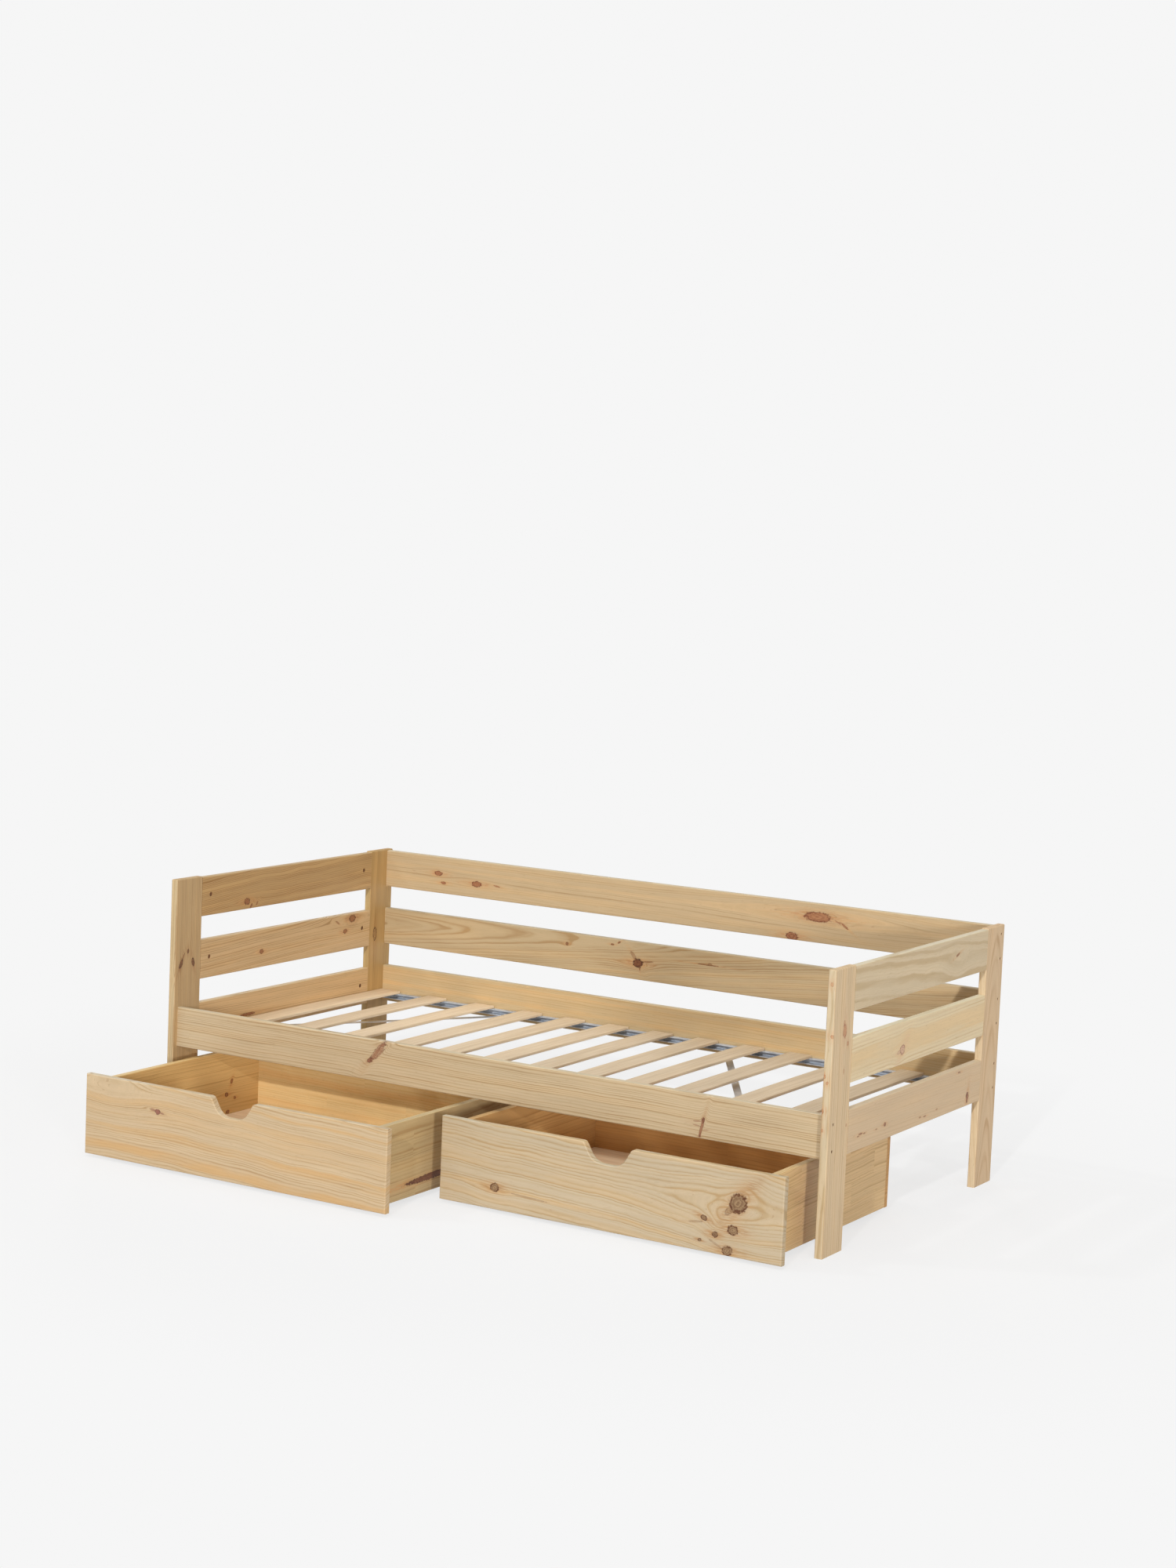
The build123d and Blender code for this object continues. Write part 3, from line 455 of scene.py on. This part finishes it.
def pine_board(node, light, dark, heart, seed, ring=4.6, taper=0.012, lean=0.0, wander=6.0,
               ripple=0.45, line_share=1.0, band=0.15, warm=orange_band, patchy=0.05, blocks=0.0,
               knots=(), core=knot_red, rim=knot_rim, glow=knot_glow, edge=painted_edge_highlight):
    """A lacquered pine board: rings round its own heart, patches of tone, fibres and knots.

    light and dark are the colours of the wood and of its ring lines. heart is how far the middle of
    the log lies across and behind the middle of the board, and ring how wide a ring is, both in
    millimetres. taper, lean, wander and ripple bend the rings, and line_share is how strongly their
    lines show. band is the share of the warm colour, patchy and blocks how far the tone changes,
    and edge is a painted highlight: the tint that the colour is multiplied with on the narrow faces,
    so that they look lit.
    A knot gives its place along and across the board and its size in millimetres, its length over
    its width, and its strength. A tilt in radians may follow, and then a depth, for a knot that
    shows on a narrow face. A knot of no strength lies under the face and only bends the rings.
    """
    material, tree = new_material(node.replace("_", " ") + " pine")
    place, end_facing, edge_facing = board_place(tree, node)
    masks = {"Push": (0.0, 0.0, 0.0), **{label: 0.0 for label in knot_shares}}
    for knot_along, knot_across, size, stretch, strength, *tilt_and_depth in knots:
        tilt, depth = (*tilt_and_depth, None, None)[:2]
        on_edge = depth is not None
        made = use_group(tree, knot_group, {
            "Place": place, "Centre": (knot_along, knot_across, depth or 0.0),
            "Shape": (1 / stretch, 1.0, 1.0 if on_edge else 0.0), "Size": size * knot_growth,
            "Strength": strength, "Tilt": tilt or 0.0, **masks,
        })
        masks = {label: made[label] for label in masks}

    block_tone, ring_place = 1.0, place
    if blocks:
        place_along, place_across, _ = parts_of(tree, place)
        strip = figure(tree, "FLOOR", figure(tree, "DIVIDE", place_across, strip_width))
        block = total(tree, place_along, product(tree, strip, strip_stagger), seed * block_seed)
        block = figure(tree, "FLOOR", figure(tree, "DIVIDE", block, block_length))
        draw = drawn_for(tree, total(tree, block, product(tree, strip, strip_seed), seed))
        block_tone = spread(tree, draw, 0.0, 1.0, 1 - blocks, 1 + blocks, "LINEAR")
        jump = joined(tree, 0.0, 0.0, product(tree, draw, block_ring_jump))
        ring_place = vector(tree, "ADD", place, jump)

    rings = use_group(tree, pine_group, {
        "Place": ring_place, "Push": masks["Push"], "Heart": (0.0, *heart), "Lean": lean,
        "Taper": taper, "Ring": ring, "Wander": wander, "Ripple": ripple, "Seed": seed,
    })
    line, fibre = product(tree, rings["Line"], line_share), rings["Fibre"]
    end_grain = spread(tree, figure(tree, "ABSOLUTE", end_facing), *end_from_to)
    # How far the surface faces across the board, which picks out the narrow faces for the painted
    # highlight.
    painted_edge_share = spread(tree, figure(tree, "ABSOLUTE", edge_facing), *painted_edge_from_to)
    colour = mixed(tree, line, tint(*light), tint(*dark))
    colour = mixed(tree, product(tree, rings["Band"], band), colour, tint(*warm))
    patches = spread(tree, rings["Tone"], *middle_of_noise, 1 - patchy, 1 + patchy, "LINEAR")
    fibres = spread(tree, fibre, *middle_of_noise, fibre_dark, fibre_pale, "LINEAR")
    colour = scaled(tree, colour, product(tree, patches, fibres, block_tone))
    # Painted highlight: the narrow faces are made paler, as if lit.
    colour = vector(tree, "MULTIPLY", colour, mixed(tree, painted_edge_share, plain_face, edge))
    colour = mixed(tree, product(tree, rings["Fleck"], fleck_share), colour, tint(*fleck_brown))
    height = total(tree, product(tree, line, line_relief), product(tree, fibre, fibre_relief))
    if knots:
        layers = (("Halo", glow), ("Tail", core), ("Core", core), ("Swirl", rim), ("Rim", rim))
        for label, tone in layers:
            share = product(tree, masks[label], knot_shares[label])
            colour = mixed(tree, share, colour, tint(*tone))
        height = figure(tree, "SUBTRACT", height, product(tree, masks["Rim"], rim_relief))
    gloss = total(tree, product(tree, fibre, fibre_rough), satin_rough - fibre_rough / 2)
    gloss = total(tree, gloss, product(tree, end_grain, end_rough))
    skin_of(tree, colour, gloss, height, specular=lacquer_shine)
    dress(node, material)


# The posts themselves. The left front one has a group of dark knots high up, and the right front
# one has small reddish ones, some of them on its narrow front face.
pine_board("left_front_post", (193, 164, 122), (163, 130, 89), heart=(-110.0, 40.0), seed=1.3,
           line_share=0.7, core=(140, 96, 66), rim=(74, 44, 34), glow=(170, 126, 84),
           knots=((110, -29, 4.2, 2.3, 1.0, 0.45), (108, -31, 2.2, 2.0, 1.0, 0.45),
                  (130, -20, 1.6, 5.0, 0.6, 0.5), (110, 21, 4.2, 2.2, 1.0, -0.25),
                  (108, 22, 2.2, 2.0, 1.0, -0.25), (142, -1, 2.8, 1.6, 1.0)))
pine_board("left_back_post", (186, 151, 98), (158, 120, 70), heart=(110.0, 30.0), seed=2.9,
           line_share=0.6, core=(176, 136, 88), rim=(84, 56, 32), glow=(170, 126, 76),
           knots=((93, -25, 6.4, 2.3, 1.0),))
pine_board("right_front_post", (215, 189, 151), (194, 163, 121), heart=(-100.0, 20.0), ring=7.0,
           seed=4.1, edge=right_front_painted_edge, core=(196, 142, 98), rim=(150, 88, 58),
           glow=(206, 160, 116),
           knots=((190, 8, 7.0, 1.7, 0.8), (209, 4, 2.6, 1.6, 0.6), (157, 27, 3.0, 1.3, 0.9),
                  (93, 13, 2.6, 2.0, 0.5), (-38, 41, 2.2, 1.3, 0.6),
                  (184, -53, 3.0, 1.2, 0.7, 0.0, 8.0), (89, -53, 3.0, 1.2, 0.7, 0.0, -7.0),
                  (75, -53, 2.5, 1.2, 0.7, 0.0, 1.0), (8, -53, 3.0, 1.3, 0.8, 0.0, -8.0),
                  (-37, -53, 2.5, 1.2, 0.6, 0.0, -6.0), (305, -53, 3.0, 1.2, 0.5, 0.0, 1.0)))
pine_board("right_back_post", (210, 180, 141), (190, 153, 110), heart=(6.0, -70.0), ring=6.0,
           seed=5.7, taper=0.06, line_share=0.8, wander=10.0)


# The six end rails are pine boards between the posts, flush with them, one above the other. The
# boards of the left end are a darker, livelier pine than those of the right end.
pine_board("left_end_rail_top", (190, 155, 106), (154, 114, 67), heart=(96.0, -50.0), ring=3.4,
           seed=6.2, taper=0.03, ripple=1.2, wander=22.0,
           knots=((-193, -32, 7.0, 1.3, 1.0), (-175, -46, 2.4, 2.4, 0.9, 0.9),
                  (-149, -41, 2.2, 2.0, 0.7, 0.8)))
pine_board("left_end_rail_middle", (208, 176, 132), (175, 138, 93), heart=(120.0, -20.0), ring=5.0,
           seed=7.4, lean=0.03,
           knots=((-122, -9, 4.6, 1.4, 0.95), (300, 38, 7.5, 1.5, 0.95), (267, 4, 5.0, 1.3, 0.9),
                  (229, 33, 2.0, 4.0, 0.6, -0.5), (298, 36, 15.0, 1.6, 0.12)))
pine_board("left_end_rail_low", (210, 177, 132), (181, 146, 101), heart=(-120.0, -30.0), seed=8.6,
           knots=((-177, -8, 3.0, 8.0, 1.0),))
pine_board("right_end_rail_top", (209, 188, 153), (188, 160, 118), heart=(-90.0, -60.0), ring=4.2,
           seed=9.1, taper=0.04, wander=24.0, ripple=2.4, line_share=0.2, band=0.85,
           warm=(186, 159, 117),
           knots=((200, 10, 2.2, 3.4, 0.95, 0.3), (205, 4, 20.0, 0.6, 0.0)))
pine_board("right_end_rail_middle", (224, 203, 164), (202, 168, 118), heart=(150.0, -30.0),
           ring=13.0, seed=10.4, taper=0.02, line_share=0.55, band=0.75, ripple=0.2,
           warm=(219, 187, 137), core=(218, 182, 148), rim=(150, 96, 78), glow=(214, 170, 124),
           knots=((-105, -16, 9.0, 1.1, 1.0, 0.8), (-126, -20, 3.0, 2.6, 0.8, 0.2),
                  (-103, -14, 3.0, 1.2, 0.4)))
pine_board("right_end_rail_low", (208, 180, 143), (191, 159, 121), heart=(-120.0, -60.0), ring=6.0,
           seed=11.8, line_share=0.3, band=0.1,
           knots=((-184, -16, 3.6, 1.2, 1.0), (308, -31, 5.5, 1.7, 1.0, 1.4),
                  (304, -22, 2.4, 2.0, 0.9, 1.0), (-318, -16, 1.8, 4.0, 0.8),
                  (-296, -18, 1.4, 3.0, 0.7), (-330, -20, 1.4, 3.0, 0.7),
                  (-230, -20, 1.3, 3.0, 0.6), (20, -34, 1.5, 3.0, 0.6), (48, -36, 1.8, 3.0, 0.7),
                  (120, -30, 1.5, 3.0, 0.5), (249, 43, 1.8, 3.0, 0.8)))


# The three back rails are long pine boards set into the back of the frame, screwed through the
# posts. The middle one is sawn near the heart, and shows long arches that point to the right.
pine_board("back_rail_top", (196, 172, 135), (174, 145, 104), heart=(-110.0, 40.0), ring=5.0,
           seed=12.5, taper=0.006, line_share=0.6, core=(166, 113, 78), rim=(108, 56, 38),
           knots=((-775, 4, 5.6, 1.7, 0.95), (-757, -22, 3.0, 2.2, 0.95), (-641, -13, 6.0, 2.1, 1.0),
                  (-572, -12, 1.7, 4.5, 0.7, -0.15), (455, 17, 9.6, 3.1, 0.9),
                  (455, 17, 20.0, 2.6, 0.06), (380, -43, 8.0, 1.7, 1.0), (380, -43, 4.0, 1.7, 0.7),
                  (538, 0, 2.2, 4.0, 0.9, -0.6), (514, 10, 1.6, 5.0, 0.6, -0.5),
                  (527, 8, 1.4, 4.0, 0.5, -0.2)))
pine_board("back_rail_middle", (189, 167, 131), (168, 138, 97), heart=(55.0, 46.0), seed=13.2,
           taper=0.034, lean=0.05, wander=5.0, ripple=0.5, core=(140, 90, 58), rim=(76, 42, 28),
           knots=((-328, 21, 3.6, 1.0, 0.85), (-94, -6, 8.5, 1.3, 1.1), (-92, -8, 4.4, 1.2, 1.0),
                  (-108, 12, 4.0, 3.2, 0.4, 2.25), (-99, 2, 2.0, 3.0, 0.8, 2.2),
                  (-62, 1, 1.6, 8.0, 0.6, 0.12), (-80, -2, 1.8, 2.0, 0.9, 0.2),
                  (-88, -20, 1.6, 3.0, 0.7, 1.8), (-179, 37, 1.8, 2.2, 0.9),
                  (-157, 45, 1.8, 2.2, 0.8, 0.6), (128, 16, 1.3, 18.0, 0.8),
                  (134, 18, 3.0, 1.6, 0.5)))
pine_board("back_rail_low", (202, 176, 134), (187, 156, 109), heart=(-140.0, 30.0), seed=14.8,
           line_share=0.8, band=0.3)


# The front rail is one long pine board between the front posts, just above the drawers, with
# two dark knots in its face.
pine_board("front_rail", (200, 179, 145), (168, 139, 99), heart=(-110.0, 50.0), ring=5.4,
           seed=15.6, taper=0.004, ripple=0.35, wander=10.0, band=0.1, line_share=0.8,
           core=(166, 114, 84), rim=(96, 56, 42), glow=(180, 136, 94),
           knots=((-303, 26, 6.0, 4.4, 0.55, 0.87), (-312, 15, 2.2, 9.0, 0.7, 0.95),
                  (-298, 18, 1.6, 10.0, 0.6, 0.8), (-327, -1, 4.6, 1.5, 1.0, 0.6),
                  (-327, -1, 2.4, 1.5, 1.0, 0.6), (-288, 44, 3.0, 2.2, 0.8, 0.2),
                  (641, -25, 2.6, 6.4, 0.85, 1.34), (644, -8, 3.0, 1.8, 1.0, 1.3),
                  (644, -8, 1.6, 1.8, 1.0, 1.3), (637, -44, 2.4, 1.6, 0.9, 1.3),
                  (628, -12, 1.3, 6.0, 0.5, 0.1), (626, -22, 1.3, 6.0, 0.5, -0.1),
                  (652, -30, 1.2, 5.0, 0.4, 0.1)))


# The wooden parts are held by cam fittings, dowels and screws. Only a dark slot or a small dark
# brown head of each shows; that dark brown also stands in for the shade in their holes.
fitting_dark, fitting_light = (104, 70, 44), (140, 100, 68)
beech_light, beech_dark = (206, 164, 120), (188, 144, 100)
plate_patch_fineness, plate_grain_fineness, plate_grain_share = 38.0, 900.0, 0.18
plate_patch_edge, plate_patch_rough, plate_relief = (0.35, 0.65), 0.1, 0.00008
streak_edge, streak_rough, streak_relief = (0.32, 0.68), 0.12, 0.00012
wide_streak_share, wide_streak_edge, wide_streak_tone = 0.16, (0.3, 0.7), 0.05
end_grain_share = 0.35


def metal(name, dark, light, rough, metallic):
    """Plated steel: its tone, gloss and surface vary with fine noise."""
    material, tree = new_material(name)
    place = fit(tree, "ShaderNodeTexCoord").outputs["Object"]
    patches = cloud(tree, place, detail=4.0, fineness=plate_patch_fineness)["Fac"]
    grain = cloud(tree, place, detail=2.0, fineness=plate_grain_fineness)["Fac"]
    colour = mixed(tree, spread(tree, patches, *plate_patch_edge), tint(*dark), tint(*light))
    colour = mixed(tree, product(tree, grain, plate_grain_share), colour, tint(*light))
    gloss = total(tree, product(tree, patches, plate_patch_rough), rough - plate_patch_rough / 2)
    skin_of(tree, colour, gloss, product(tree, grain, plate_relief), metallic=metallic)
    return material


def plain_wood(name, light, dark, axis, streak=(0.012, 0.5), rough=0.5, end=0.72):
    """Fine-grained wood without marked rings: long faint streaks that run along one axis.

    A streak has so many waves to the millimetre along the wood and across it, and end is the tone
    of the end grain, as a share of the dark colour.
    """
    material, tree = new_material(name)
    spot = fit(tree, "ShaderNodeTexCoord").outputs
    place = vector(tree, "MULTIPLY", spot["Object"], (millimetres,) * 3)
    grain = [streak[1]] * 3
    grain[axis] = streak[0]
    wide_grain = [v * wide_streak_share for v in grain]
    streaks = cloud(tree, vector(tree, "MULTIPLY", place, grain), detail=3.0)["Fac"]
    wide = cloud(tree, vector(tree, "MULTIPLY", place, wide_grain), detail=2.0)["Fac"]
    wide = spread(tree, wide, *wide_streak_edge, 1 - wide_streak_tone, 1 + wide_streak_tone, "LINEAR")
    colour = mixed(tree, spread(tree, streaks, *streak_edge), tint(*light), tint(*dark))
    colour = scaled(tree, colour, wide)
    end_grain = figure(tree, "ABSOLUTE", parts_of(tree, spot["Normal"])[axis])
    end_grain = product(tree, spread(tree, end_grain, *end_from_to), end_grain_share)
    colour = mixed(tree, end_grain, colour, tint(*(v * end for v in dark)))
    gloss = total(tree, product(tree, streaks, streak_rough), rough - streak_rough / 2)
    skin_of(tree, colour, gloss, product(tree, streaks, streak_relief), specular=lacquer_shine)
    return material


# The fittings are dark brown, a colour that also stands in for the shade in the holes they sit in.
dark_brown_fittings = metal("browned fittings", fitting_dark, fitting_light, rough=0.42, metallic=0.3)
for node in ("cams", "cam_bolts", "rail_screws"):
    dress(node, dark_brown_fittings)
dress("dowels", plain_wood("beech dowels", beech_light, beech_dark, axis=1))


# Two C-shaped steel rails run along the inner faces of the front and back rails and carry the
# slats. They are zinc plated, bluish grey, and screwed to the wood.
rail_dark, rail_light = (178, 188, 201), (206, 214, 224)
screw_dark, screw_light = (168, 174, 180), (200, 205, 210)

zinc_plate = metal("zinc plated rail", rail_dark, rail_light, rough=0.36, metallic=0.15)
for node in ("front_steel_rail", "back_steel_rail"):
    dress(node, zinc_plate)
bright_zinc = metal("bright zinc screws", screw_dark, screw_light, rough=0.3, metallic=0.5)
dress("steel_rail_screws", bright_zinc)


# The thirteen slats are thin sprung strips of pale wood that lie across the bed on the steel
# rails, each held at its ends by small black plastic pegs. Their tone falls a little from the
# left slat to the right one, as painted shade for the shadow of the right end, and sways from
# slat to slat.
slat_count = 13
slat_light, slat_dark = (223, 203, 174), (210, 187, 154)
slat_tone, slat_painted_shade_fall, slat_tone_sway, sway_step = 1.07, 0.011, 0.015, 2.4
slat_streak, slat_rough, slat_end = (0.006, 0.22), 0.55, 0.9
peg_dark, peg_light = (38, 38, 40), (58, 58, 60)
moulded_mottle_fineness, moulded_mottle_rough = 160.0, 0.1
moulded_grain_fineness, moulded_relief = 1400.0, 0.00006


def moulded_plastic(name, dark, light, rough):
    """Moulded plastic with a faint mottle and a fine matt skin."""
    material, tree = new_material(name)
    place = fit(tree, "ShaderNodeTexCoord").outputs["Object"]
    mottle = cloud(tree, place, detail=3.0, fineness=moulded_mottle_fineness)["Fac"]
    grain = cloud(tree, place, detail=2.0, fineness=moulded_grain_fineness)["Fac"]
    gloss = total(tree, product(tree, mottle, moulded_mottle_rough), rough - moulded_mottle_rough / 2)
    colour = mixed(tree, mottle, tint(*dark), tint(*light))
    skin_of(tree, colour, gloss, product(tree, grain, moulded_relief))
    return material


for number in range(1, slat_count + 1):
    # The fall from the left slat to the right one is painted shade; the sway is the wood's own tone.
    tone = slat_tone - slat_painted_shade_fall * number + slat_tone_sway * math.sin(number * sway_step)
    light, dark = [v * tone for v in slat_light], [v * tone for v in slat_dark]
    wood = plain_wood(f"slat {number:02d} wood", light, dark, axis=1, streak=slat_streak,
                      rough=slat_rough, end=slat_end)
    dress(f"slat_{number:02d}", wood)
dress("slat_pegs", moulded_plastic("black pegs", peg_dark, peg_light, rough=0.5))


# Two flat steel braces run slantwise under the slats and keep the bed square. They are plated a
# lighter grey than the rails, and bolted to them.
brace_dark, brace_light = (222, 226, 230), (236, 239, 243)

plated = metal("plated brace", brace_dark, brace_light, rough=0.3, metallic=0.85)
for node in ("left_brace", "right_brace", "brace_fasteners"):
    dress(node, plated)


# The two drawer fronts are wide pine boards with a hand cut-out in the top edge. The left one
# has calm grain and one small knot, the right one livelier grain and a cluster of knots.
pine_board("left_drawer_front", (201, 177, 142), (178, 146, 104), heart=(-170.0, 50.0), ring=6.4,
           seed=16.4, taper=0.02, lean=-0.02, wander=26.0, ripple=0.9, line_share=0.8, band=0.8,
           patchy=0.04, warm=(200, 160, 108), core=(150, 98, 80), rim=(104, 60, 52),
           glow=(190, 150, 106),
           knots=((-234, 39, 5.0, 1.2, 1.0, -0.2), (-249, 42, 2.0, 3.0, 0.5, -0.15),
                  (-220, 37, 1.8, 3.0, 0.5, -0.15), (-385, 88, 34.0, 0.55, 0.0)))
pine_board("right_drawer_front", (192, 174, 145), (174, 147, 107), heart=(190.0, 50.0), ring=9.0,
           seed=17.9, taper=0.02, lean=-0.06, wander=30.0, ripple=0.9, band=0.35,
           warm=(208, 166, 106), core=(152, 124, 90), rim=(92, 54, 30), glow=(178, 128, 74),
           knots=((354, 24, 15.5, 1.15, 1.25, 0.9), (350, 14, 36.0, 0.9, 0.0),
                  (343, -41, 8.6, 1.15, 1.2), (331, -91, 8.2, 1.15, 1.2), (297, -58, 5.4, 1.1, 1.6),
                  (297, -58, 2.6, 1.1, 1.5), (267, -24, 4.4, 1.4, 1.5, -0.3),
                  (258, -78, 2.8, 1.2, 1.5), (-311, -49, 8.0, 1.1, 1.2),
                  (-215, -58, 1.5, 26.0, 0.35, -0.05), (246, -36, 1.8, 8.0, 0.4, 0.15),
                  (333, 6, 6.0, 2.0, 0.5, 0.9), (300, -80, 1.8, 9.0, 0.35, -0.45)))


# The drawer sides and backs are glued up from strips of pine of a warmer, more orange tone. The
# left drawer's left side has four knots, and its right side a dark streak of bark near the foot.
left_back_tones = (228, 200, 146), (211, 174, 112)
right_back_tones = (200, 152, 95), (177, 128, 71)

pine_board("left_drawer_left_side", (212, 175, 116), (186, 146, 88), heart=(-100.0, 60.0),
           ring=6.0, seed=18.3,
           knots=((191, 12, 3.8, 1.4, 1.0, 1.2), (170, -23, 4.6, 1.2, 1.0),
                  (206, -36, 3.2, 1.2, 0.9), (177, -71, 4.0, 1.3, 0.9)))
pine_board("left_drawer_right_side", (195, 169, 124), (173, 141, 95), heart=(110.0, -60.0),
           ring=6.5, seed=19.6, wander=16.0, blocks=0.03, core=(128, 84, 58), rim=(92, 54, 36),
           knots=((-60, -60, 6.0, 15.0, 1.1, 0.03),))
pine_board("right_drawer_left_side", (196, 154, 100), (172, 128, 76), heart=(80.0, 50.0),
           ring=6.0, seed=20.4)
pine_board("right_drawer_right_side", (222, 188, 136), (194, 155, 102), heart=(150.0, -70.0),
           ring=5.5, seed=21.7, taper=0.02, wander=14.0, ripple=0.9, blocks=0.06, line_share=0.8)
for side, seed, (light, dark) in (("left", 22.2, left_back_tones), ("right", 23.8, right_back_tones)):
    pine_board(f"{side}_drawer_back", light, dark, heart=(-160.0, 50.0), ring=8.0, seed=seed,
               wander=20.0, blocks=0.035, line_share=0.6, band=0.3, warm=(228, 172, 104))


# The drawer bottoms are thin sheets of pale plywood let into grooves in the front, the sides and
# the back, with a fine even grain.
bottom_light, bottom_dark = (231, 204, 170), (217, 187, 150)
bottom_streak, bottom_rough = (0.008, 0.12), 0.6

bottom_ply = plain_wood("thin plywood", bottom_light, bottom_dark, axis=0, streak=bottom_streak,
                        rough=bottom_rough)
for side in ("left", "right"):
    dress(f"{side}_drawer_bottom", bottom_ply)


# Each drawer stands on four small castors: a folded plated bracket, an axle and a black plastic
# wheel that turns as the drawer rolls. Its own fittings join its boards.
castor_dark, castor_light = (150, 156, 162), (188, 193, 198)
wheel_dark, wheel_light = (30, 30, 32), (46, 46, 48)

castor_plate = metal("castor brackets", castor_dark, castor_light, rough=0.35, metallic=0.6)
wheel_plastic = moulded_plastic("black wheels", wheel_dark, wheel_light, rough=0.42)
for side in ("left", "right"):
    dress(f"{side}_drawer_fittings", dark_brown_fittings)
    dress(f"{side}_drawer_castor_frames", castor_plate)
    for end in ("front_left", "front_right", "back_left", "back_right"):
        dress(f"{side}_drawer_wheel_{end}", wheel_plastic)
